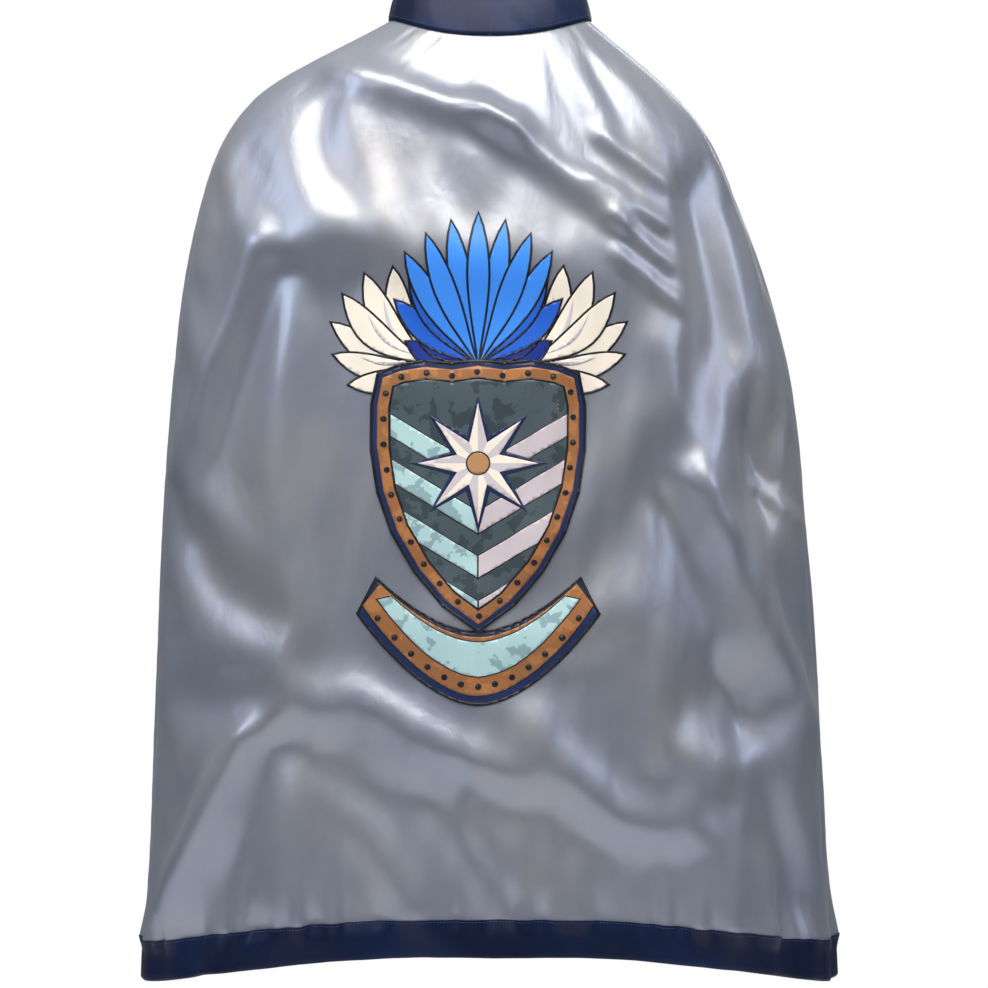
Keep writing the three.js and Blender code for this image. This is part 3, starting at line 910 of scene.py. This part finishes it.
# ---------------------------------------------------------------- printed crest
# A heat-bonded print: flat inks under a thin film, each colour edged in a dark line. A shield
# with a faceted star and chevrons stands under a fan of blue leaves between two cream wings,
# over a studded scroll. Sizes are in millimetres about the middle of the shield's top edge.
crest_place = np.array([-0.0115, -0.364])
ink_edge = 1.5
ink_cell = 4.0
film_base = 0.0013
film_step = 0.00006
film_thickness = 0.0001

printed_drops, printed_shares = np.linspace(0.14, 0.78, 200), np.linspace(0.24, 0.76, 360)
printed_grid = (len(printed_drops), len(printed_shares))
back_points = on_cloth(*np.meshgrid(printed_shares, printed_drops), np.zeros(printed_grid))
back_surface = BVHTree.FromPolygons(back_points.reshape(-1, 3).tolist(), grid_faces(*printed_grid).tolist())


def ink(name, colour, fleck=None):
    """Screen ink under a satin film: even colour, a faint cloth grain and, on metal greys, flecks."""
    material, tree, place = new_material(name)
    grain = noise(tree, place.outputs["Object"], 60.0, detail=4.0)
    stops = ((0.44, fleck), (0.47, colour)) if fleck else ((0.35, colour), (0.62, colour))
    return finished(material, {
        "Base Color": ramp(tree, grain, *stops), "Roughness": 0.42, "Specular IOR Level": 0.45,
        "Normal": bump(tree, grain, 0.08, 0.001)})


inks = {name: ink("ink_" + finish, *colours) for name, finish, *colours in [
    ("line", "blue_black", "#10141f"),
    ("sky", "bright_blue", "#3f93ff"),
    ("royal", "royal_blue", "#1f62d6"),
    ("deep", "deep_blue", "#0d2f8e"),
    ("cream", "cream", "#f6f1e6"),
    ("pearl", "pearl_grey", "#cfcbd4"),
    ("sand", "sand", "#b5ab77"),
    ("bronze", "bronze", "#9c6a42", "#b0794a"),
    ("copper", "light_bronze", "#b98d63"),
    ("steel", "steel_grey", "#4a5a63", "#37464f"),
    ("ice", "ice_blue", "#b5dce2", "#8fb3bd"),
    ("lilac", "pale_lilac", "#cfc8d2"),
    ("navy", "navy", "#152a58"),
]}
ink_order = list(inks)


def mirrored(points):
    return [(-x, y) for x, y in points][::-1]


def anticlockwise(points):
    """The same outline, turned if need be so that it runs anticlockwise."""
    ring = np.array(points, float)
    ahead = np.roll(ring, -1, axis=0)
    return ring if (ring[:, 0] * ahead[:, 1] - ring[:, 1] * ahead[:, 0]).sum() > 0 else ring[::-1]


def leaf(root, tip, width, bend):
    """The outline of a leaf or feather that curves to one side on its way to its tip."""
    root, tip = np.array(root, float), np.array(tip, float)
    run = tip - root
    beside = np.array([-run[1], run[0]]) / np.hypot(*run)
    shares = np.linspace(0, 1, 13)
    spine = root + shares[:, None] * run + (bend * np.sin(math.pi * shares))[:, None] * beside
    half = (width / 2 * np.sin(math.pi * shares ** 1.5) ** 0.8 * (1 - 0.25 * shares))[:, None] * beside
    return np.concatenate([spine + half, (spine - half)[-2:0:-1]])


def disc(centre, radius, count=10):
    turns = np.linspace(0, 2 * math.pi, count, endpoint=False)
    return [(centre[0] + radius * math.cos(a), centre[1] + radius * math.sin(a)) for a in turns]


def star(centre, points, outer, inner):
    """The outline of a star with one point straight up."""
    turns = math.pi / 2 + np.arange(2 * points) * math.pi / points
    radii = np.where(np.arange(2 * points) % 2 == 0, outer, inner)
    return [(centre[0] + r * math.cos(a), centre[1] + r * math.sin(a)) for a, r in zip(turns, radii)]


def grown(points, amount):
    """The outline moved outwards by an amount, its corners mitred."""
    ring = anticlockwise(points)
    ahead = np.roll(ring, -1, axis=0) - ring
    ahead /= np.linalg.norm(ahead, axis=1, keepdims=True)
    behind = np.roll(ahead, 1, axis=0)
    out_ahead = np.stack([ahead[:, 1], -ahead[:, 0]], axis=1)
    out_behind = np.stack([behind[:, 1], -behind[:, 0]], axis=1)
    mitre = out_ahead + out_behind
    mitre /= np.maximum((mitre * mitre).sum(axis=1, keepdims=True) / 2, 0.35)
    return ring + mitre * amount


def applied(piece):
    """Makes a piece's modifiers part of its mesh."""
    made = bpy.data.meshes.new_from_object(piece.evaluated_get(bpy.context.evaluated_depsgraph_get()))
    piece.modifiers.clear()
    piece.data = made


class Print:
    """One printed motif: flat shapes in millimetres, laid on the cloth in order."""

    def __init__(self):
        self.plates = bmesh.new()
        self.level = self.plates.faces.layers.int.new("level")

    def fill(self, points, colour, level):
        corners = [self.plates.verts.new((x, 0, y)) for x, y in points]
        face = self.plates.faces.new(corners)
        face.material_index = ink_order.index(colour)
        face[self.level] = level

    def edge(self, points, level, width=ink_edge):
        """A dark line along an outline, most of it outside."""
        rings = (grown(points, width), grown(points, -0.45 * width))
        outer, inner = ([self.plates.verts.new((x, 0, y)) for x, y in ring] for ring in rings)
        for i in range(len(outer)):
            j = (i + 1) % len(outer)
            face = self.plates.faces.new([outer[i], outer[j], inner[j], inner[i]])
            face.material_index = ink_order.index("line")
            face[self.level] = level

    def shape(self, points, colour, level, width=ink_edge):
        self.fill(points, colour, level)
        self.edge(points, level + 1, width)

    def laid(self, name):
        """Cuts the plates into cells small enough to follow the folds and lays them on the cloth."""
        plates = self.plates
        bmesh.ops.triangulate(plates, faces=plates.faces)
        extent = np.array([v.co for v in plates.verts])
        for axis in (0, 2):
            normal = [0, 0, 0]
            normal[axis] = 1
            first, final = extent[:, axis].min(), extent[:, axis].max()
            for place in np.arange(math.ceil(first / ink_cell) * ink_cell, final, ink_cell):
                cut = [0, 0, 0]
                cut[axis] = place
                parts = plates.verts[:] + plates.edges[:] + plates.faces[:]
                bmesh.ops.bisect_plane(plates, geom=parts, plane_co=cut, plane_no=normal, dist=1e-5)
        mesh = bpy.data.meshes.new(name)
        points, faces, colours = [], [], []
        plates.verts.index_update()
        placed = {}
        for face in plates.faces:
            corners = []
            for vertex in face.verts:
                key = (round(vertex.co.x, 3), round(vertex.co.z, 3), face[self.level])
                if key not in placed:
                    x, z = crest_place + np.array([vertex.co.x, vertex.co.z]) / 1000
                    spot, normal, _, _ = back_surface.ray_cast(Vector((x, -1.0, z)), Vector((0, 1, 0)))
                    outward = normal if normal.y < 0 else -normal
                    placed[key] = len(points)
                    points.append(spot + outward * (film_base + film_step * face[self.level]))
                corners.append(placed[key])
            if len(set(corners)) == len(corners):
                faces.append(corners)
                colours.append(face.material_index)
        plates.free()
        mesh.from_pydata([tuple(p) for p in points], [], faces)
        for colour in ink_order:
            mesh.materials.append(inks[colour])
        mesh.polygons.foreach_set("material_index", colours)
        mesh.polygons.foreach_set("use_smooth", [True] * len(faces))
        shell = bmesh.new()
        shell.from_mesh(mesh)
        for face in shell.faces:
            face.normal_update()
            if face.normal.y > 0:
                face.normal_flip()
        shell.to_mesh(mesh)
        shell.free()
        piece = add_object(name, mesh)
        plate = piece.modifiers.new("film", "SOLIDIFY")
        plate.thickness = film_thickness
        plate.offset = -1
        applied(piece)
        belongs(piece, "cape", "printed_film")
        return piece


# Rays and leaves: sand-coloured rays behind, then three rows of blue leaves, deep to bright.
crown = Print()
for lean_angle in (-68, -50, -32, 32, 50, 68):
    a = math.radians(90 - lean_angle)
    crown.shape(leaf((8 * math.cos(a), 8), (104 * math.cos(a), 104 * math.sin(a)), 17, 0), "sand", 0)
leaf_rows = [("deep", 11, 92, 70, 26, 8), ("royal", 9, 126, 52, 27, 12), ("sky", 7, 155, 34, 25, 16)]
for colour, count, length, spread, width, level in leaf_rows:
    for step, turn in enumerate(np.linspace(-spread, spread, count)):
        a = math.radians(90 - turn)
        reach = length * (1 - 0.10 * abs(turn) / spread)
        tip = (reach * math.cos(a) * 0.92, reach * math.sin(a))
        crown.shape(leaf((2 * math.cos(a), 6), tip, width, -turn / 9), colour, level + 2 * (step % 2))
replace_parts(crown.laid("crest_leaves"), "emblem_transfer")

# Wings: six cream feathers a side, each with a pearl quill, shortest at the bottom.
wings = Print()
feathers = [((-84, 102), 30, 10), ((-112, 96), 31, 12), ((-134, 76), 31, 12), ((-146, 48), 30, 11),
            ((-144, 16), 28, 9), ((-128, -14), 26, 6)]
for order, (tip, width, bend) in enumerate(feathers):
    level = 2 + 2 * (order % 3)
    for turned in (list, mirrored):
        wings.shape(turned(leaf((-46, 6), tip, width, bend)), "cream", level)
        quill_tip = (-46 + 0.72 * (tip[0] + 46), 6 + 0.72 * (tip[1] - 6))
        wings.fill(turned(leaf((-58, 14), quill_tip, 5, bend * 0.8)), "pearl", level + 1)
wings.laid("crest_wings")

# Shield: navy rim, bronze border with studs, and a field split in chevrons behind a star.
half_shield = [(0, 9), (26, 5), (52, 8), (78, 4), (98, -4), (104, -34), (104, -78), (98, -120), (84, -160),
               (62, -198), (34, -231), (0, -256)]
outline = half_shield + mirrored(half_shield)[1:-1]
shield = Print()
shield.shape(outline, "navy", 20, 2.2)
shield.fill(grown(outline, -5), "bronze", 22)
field_outline = grown(outline, -17)
shield.edge(field_outline, 24)
shield.fill(field_outline, "steel", 23)


def clipped(points, ring):
    """The part of a convex strip inside the shield's field, which is close to convex."""
    for a, b in zip(ring, np.roll(ring, -1, axis=0)):
        side = [(b[0] - a[0]) * (p[1] - a[1]) - (b[1] - a[1]) * (p[0] - a[0]) for p in points]
        kept = []
        for i, p in enumerate(points):
            q, s, t = points[(i + 1) % len(points)], side[i], side[(i + 1) % len(points)]
            if s >= 0:
                kept.append(p)
            if s * t < 0:
                share = s / (s - t)
                kept.append((p[0] + (q[0] - p[0]) * share, p[1] + (q[1] - p[1]) * share))
        points = kept
        if len(points) < 3:
            return []
    return points


for top in np.arange(-61, -250, -44):
    for sign, colour in ((-1, "ice"), (1, "lilac")):
        arm = [(0, top - 34), (sign * 120, top + 38), (sign * 120, top + 16), (0, top - 56)]
        piece = clipped(anticlockwise(arm), field_outline)
        if piece:
            shield.fill(piece, colour, 24)
            shield.edge(piece, 25, 0.8)
star_middle = (0, -92)
star_points = 8
star_rim = star(star_middle, star_points, 68, 30)
star_face = star(star_middle, star_points, 60, 23)
for i in range(2 * star_points):
    j = (i + 1) % (2 * star_points)
    shield.fill([star_middle, star_rim[i], star_rim[j]], "navy", 26)
    shield.fill([star_middle, star_face[i], star_face[j]], "pearl" if i % 2 else "cream", 27)
shield.edge(star_face, 28, 0.8)
shield.shape(disc(star_middle, 11, 20), "copper", 29, 1.0)
studs = grown(outline, -11)
stud_spacing = 25
closed = np.concatenate([studs, studs[:1]])
walk = np.concatenate([[0], np.cumsum(np.hypot(*np.diff(closed, axis=0).T))])
for place in np.linspace(0, walk[-1], round(walk[-1] / stud_spacing), endpoint=False):
    centre = (np.interp(place, walk, closed[:, 0]), np.interp(place, walk, closed[:, 1]))
    shield.shape(disc(centre, 2.6), "line", 24, 0.5)
shield.laid("crest_shield")

# Scroll: a plain studded band that hangs under the shield like a smile.
scroll = Print()
turns = np.linspace(-1, 1, 25)
lower = [(118 * t, -328 + 88 * abs(t) ** 1.8) for t in turns]
upper = [(100 * t, -258 + 52 * abs(t) ** 1.8) for t in turns]
scroll.shape(lower + upper[::-1], "navy", 8, 2.0)
border_lower = [(x * 0.965, y + 8) for x, y in lower]
border_upper = [(x * 0.965, y - 4) for x, y in upper]
scroll.shape(border_lower + border_upper[::-1], "bronze", 10, 0.8)
ribbon_lower = [(x * 0.92, y + 27) for x, y in lower[1:-1]]
ribbon_upper = [(x * 0.93, y - 9) for x, y in upper[1:-1]]
scroll.shape(ribbon_lower + ribbon_upper[::-1], "ice", 12, 0.8)
for t in np.linspace(-0.88, 0.88, 13):
    scroll.shape(disc((112 * t, -311 + 84 * abs(t) ** 1.8), 2.8), "line", 12, 0.4)
scroll.laid("crest_scroll")


# ---------------------------------------------------------------- stitches
# Lockstitch in matching thread. The real thread is 0.2 mm with about eight stitches to the
# inch; it is drawn a little thicker so that it shows.
stitch_length, stitch_pitch, thread_radius = 0.0026, 0.0034, 0.00026


def stitch_tree():
    """Lays one short rounded stitch at every pitch along a line."""
    tree = bpy.data.node_groups.new("lockstitch", "GeometryNodeTree")
    tree.interface.new_socket("Line", in_out="INPUT", socket_type="NodeSocketGeometry")
    for name in ("Stitch Length", "Stitch Pitch", "Thread Radius"):
        tree.interface.new_socket(name, in_out="INPUT", socket_type="NodeSocketFloat")
    tree.interface.new_socket("Thread", in_out="INPUT", socket_type="NodeSocketMaterial")
    tree.interface.new_socket("Stitches", in_out="OUTPUT", socket_type="NodeSocketGeometry")
    given = add_node(tree, "NodeGroupInput")
    seam = add_node(tree, "GeometryNodeMeshToCurve", {"Mesh": given.outputs["Line"]})
    spots = add_node(tree, "GeometryNodeCurveToPoints", {
        "Curve": seam.outputs[0], "Length": given.outputs["Stitch Pitch"]}, mode="LENGTH")
    half = add_node(tree, "ShaderNodeMath", {
        0: given.outputs["Stitch Length"], 1: 0.5}, operation="MULTIPLY")
    size = add_node(tree, "ShaderNodeCombineXYZ", {
        "X": given.outputs["Thread Radius"], "Y": given.outputs["Thread Radius"], "Z": half.outputs[0]})
    bead = add_node(tree, "GeometryNodeMeshUVSphere", {"Segments": 6, "Rings": 4, "Radius": 1.0})
    row = add_node(tree, "GeometryNodeInstanceOnPoints", {
        "Points": spots.outputs["Points"], "Instance": bead.outputs["Mesh"],
        "Rotation": spots.outputs["Rotation"], "Scale": size.outputs[0]})
    real = add_node(tree, "GeometryNodeRealizeInstances", {"Geometry": row.outputs[0]})
    coloured = add_node(tree, "GeometryNodeSetMaterial", {
        "Geometry": real.outputs[0], "Material": given.outputs["Thread"]})
    add_node(tree, "NodeGroupOutput", {"Stitches": coloured.outputs[0]})
    return tree


def thread(name, colour):
    """Spun polyester thread, slightly glossy, twisted about three times in each stitch."""
    material, tree, place = new_material(name)
    twist = noise(tree, place.outputs["Object"], 900.0)
    return finished(material, {
        "Base Color": linear(colour), "Roughness": 0.5, "Sheen Weight": 0.3,
        "Normal": bump(tree, twist, 0.5, 0.0002)})


lockstitch = stitch_tree()
silver_thread = thread("silver_polyester_thread", "#b4b6be")
navy_thread = thread("navy_polyester_thread", "#24407a")


def sewn(name, lines, colour):
    """Stitches along one or more lines of points, as one plain mesh."""
    points = np.concatenate(lines)
    starts = np.cumsum([0] + [len(line) for line in lines])
    edges = [(i, i + 1) for a, b in zip(starts, starts[1:]) for i in range(a, b - 1)]
    mesh = bpy.data.meshes.new(name)
    mesh.from_pydata(points.tolist(), edges, [])
    piece = add_object(name, mesh)
    modifier = piece.modifiers.new("stitches", "NODES")
    modifier.node_group = lockstitch
    values = {"Stitch Length": stitch_length, "Stitch Pitch": stitch_pitch, "Thread Radius": thread_radius,
              "Thread": colour}
    for item in lockstitch.interface.items_tree:
        if item.name in values:
            modifier[item.identifier] = values[item.name]
    applied(piece)
    piece.data.polygons.foreach_set("use_smooth", [True] * len(piece.data.polygons))
    return piece


def seam_line(surface, across, level, offset):
    across, level = np.broadcast_arrays(across, level)
    return surface(across, level, np.full(across.shape, offset))


band_stitch_drop = hem_drop + 0.0022
for part, (start, end, steps) in band_spans.items():
    level = np.full(steps * 2, band_stitch_drop)
    ends = start(level), end(level)
    across = ends[0] + (ends[1] - ends[0]) * np.linspace(0.001, 0.999, steps * 2)
    line = seam_line(on_cloth, across, level, band_outer)
    row = sewn("hem_band_stitches_" + part, [line], navy_thread)
    if part == "back":
        belongs(row, "cape", "navy_satin")
    else:
        bends_at_front(row, part, "navy_satin")
for side, sign in (("left", -1), ("right", 1)):
    level = np.linspace(0.140, hem_drop - 0.004, 300)
    across = inset(sign, facing_width - 0.002)(level)
    line = seam_line(on_cloth, across, level, cloth_high)
    row = sewn("front_edge_stitches_" + side, [line], silver_thread)
    bends_at_front(row, side, "silver_satin")
collar_lines = []
for height in (0.0022, collar_height - 0.0030):
    for ends in ((-neck_edge(1)(0), -0.03), (0.03, neck_edge(1)(0))):
        angles = np.linspace(float(ends[0]) * 0.995, float(ends[1]) * 0.995, 160)
        collar_lines.append(seam_line(on_collar, angles, height, outer_layer[1]))
belongs(sewn("collar_stitches", collar_lines, navy_thread), "cape", "navy_satin")
box_levels = collar_middle + np.array([-1, -1, 1, 1, -1]) * (tab_height / 2 - 0.003)
box_across = front_angle(np.array([1, 0.35, 0.35, 1, 1]) * (tab_root - 0.002))
corners = np.linspace(0, 4, 61)
tab_angles = np.interp(corners, np.arange(5), box_across)
tab_lift = climb((tab_root - neck_half_width * np.sin(tab_angles)) / (tab_root + tab_reach))
tab_path = on_collar(tab_angles, np.interp(corners, np.arange(5), box_levels), tab_layer[1] + tab_lift)
belongs(sewn("closure_tab_stitches", [tab_path], navy_thread), "tab", "navy_satin")
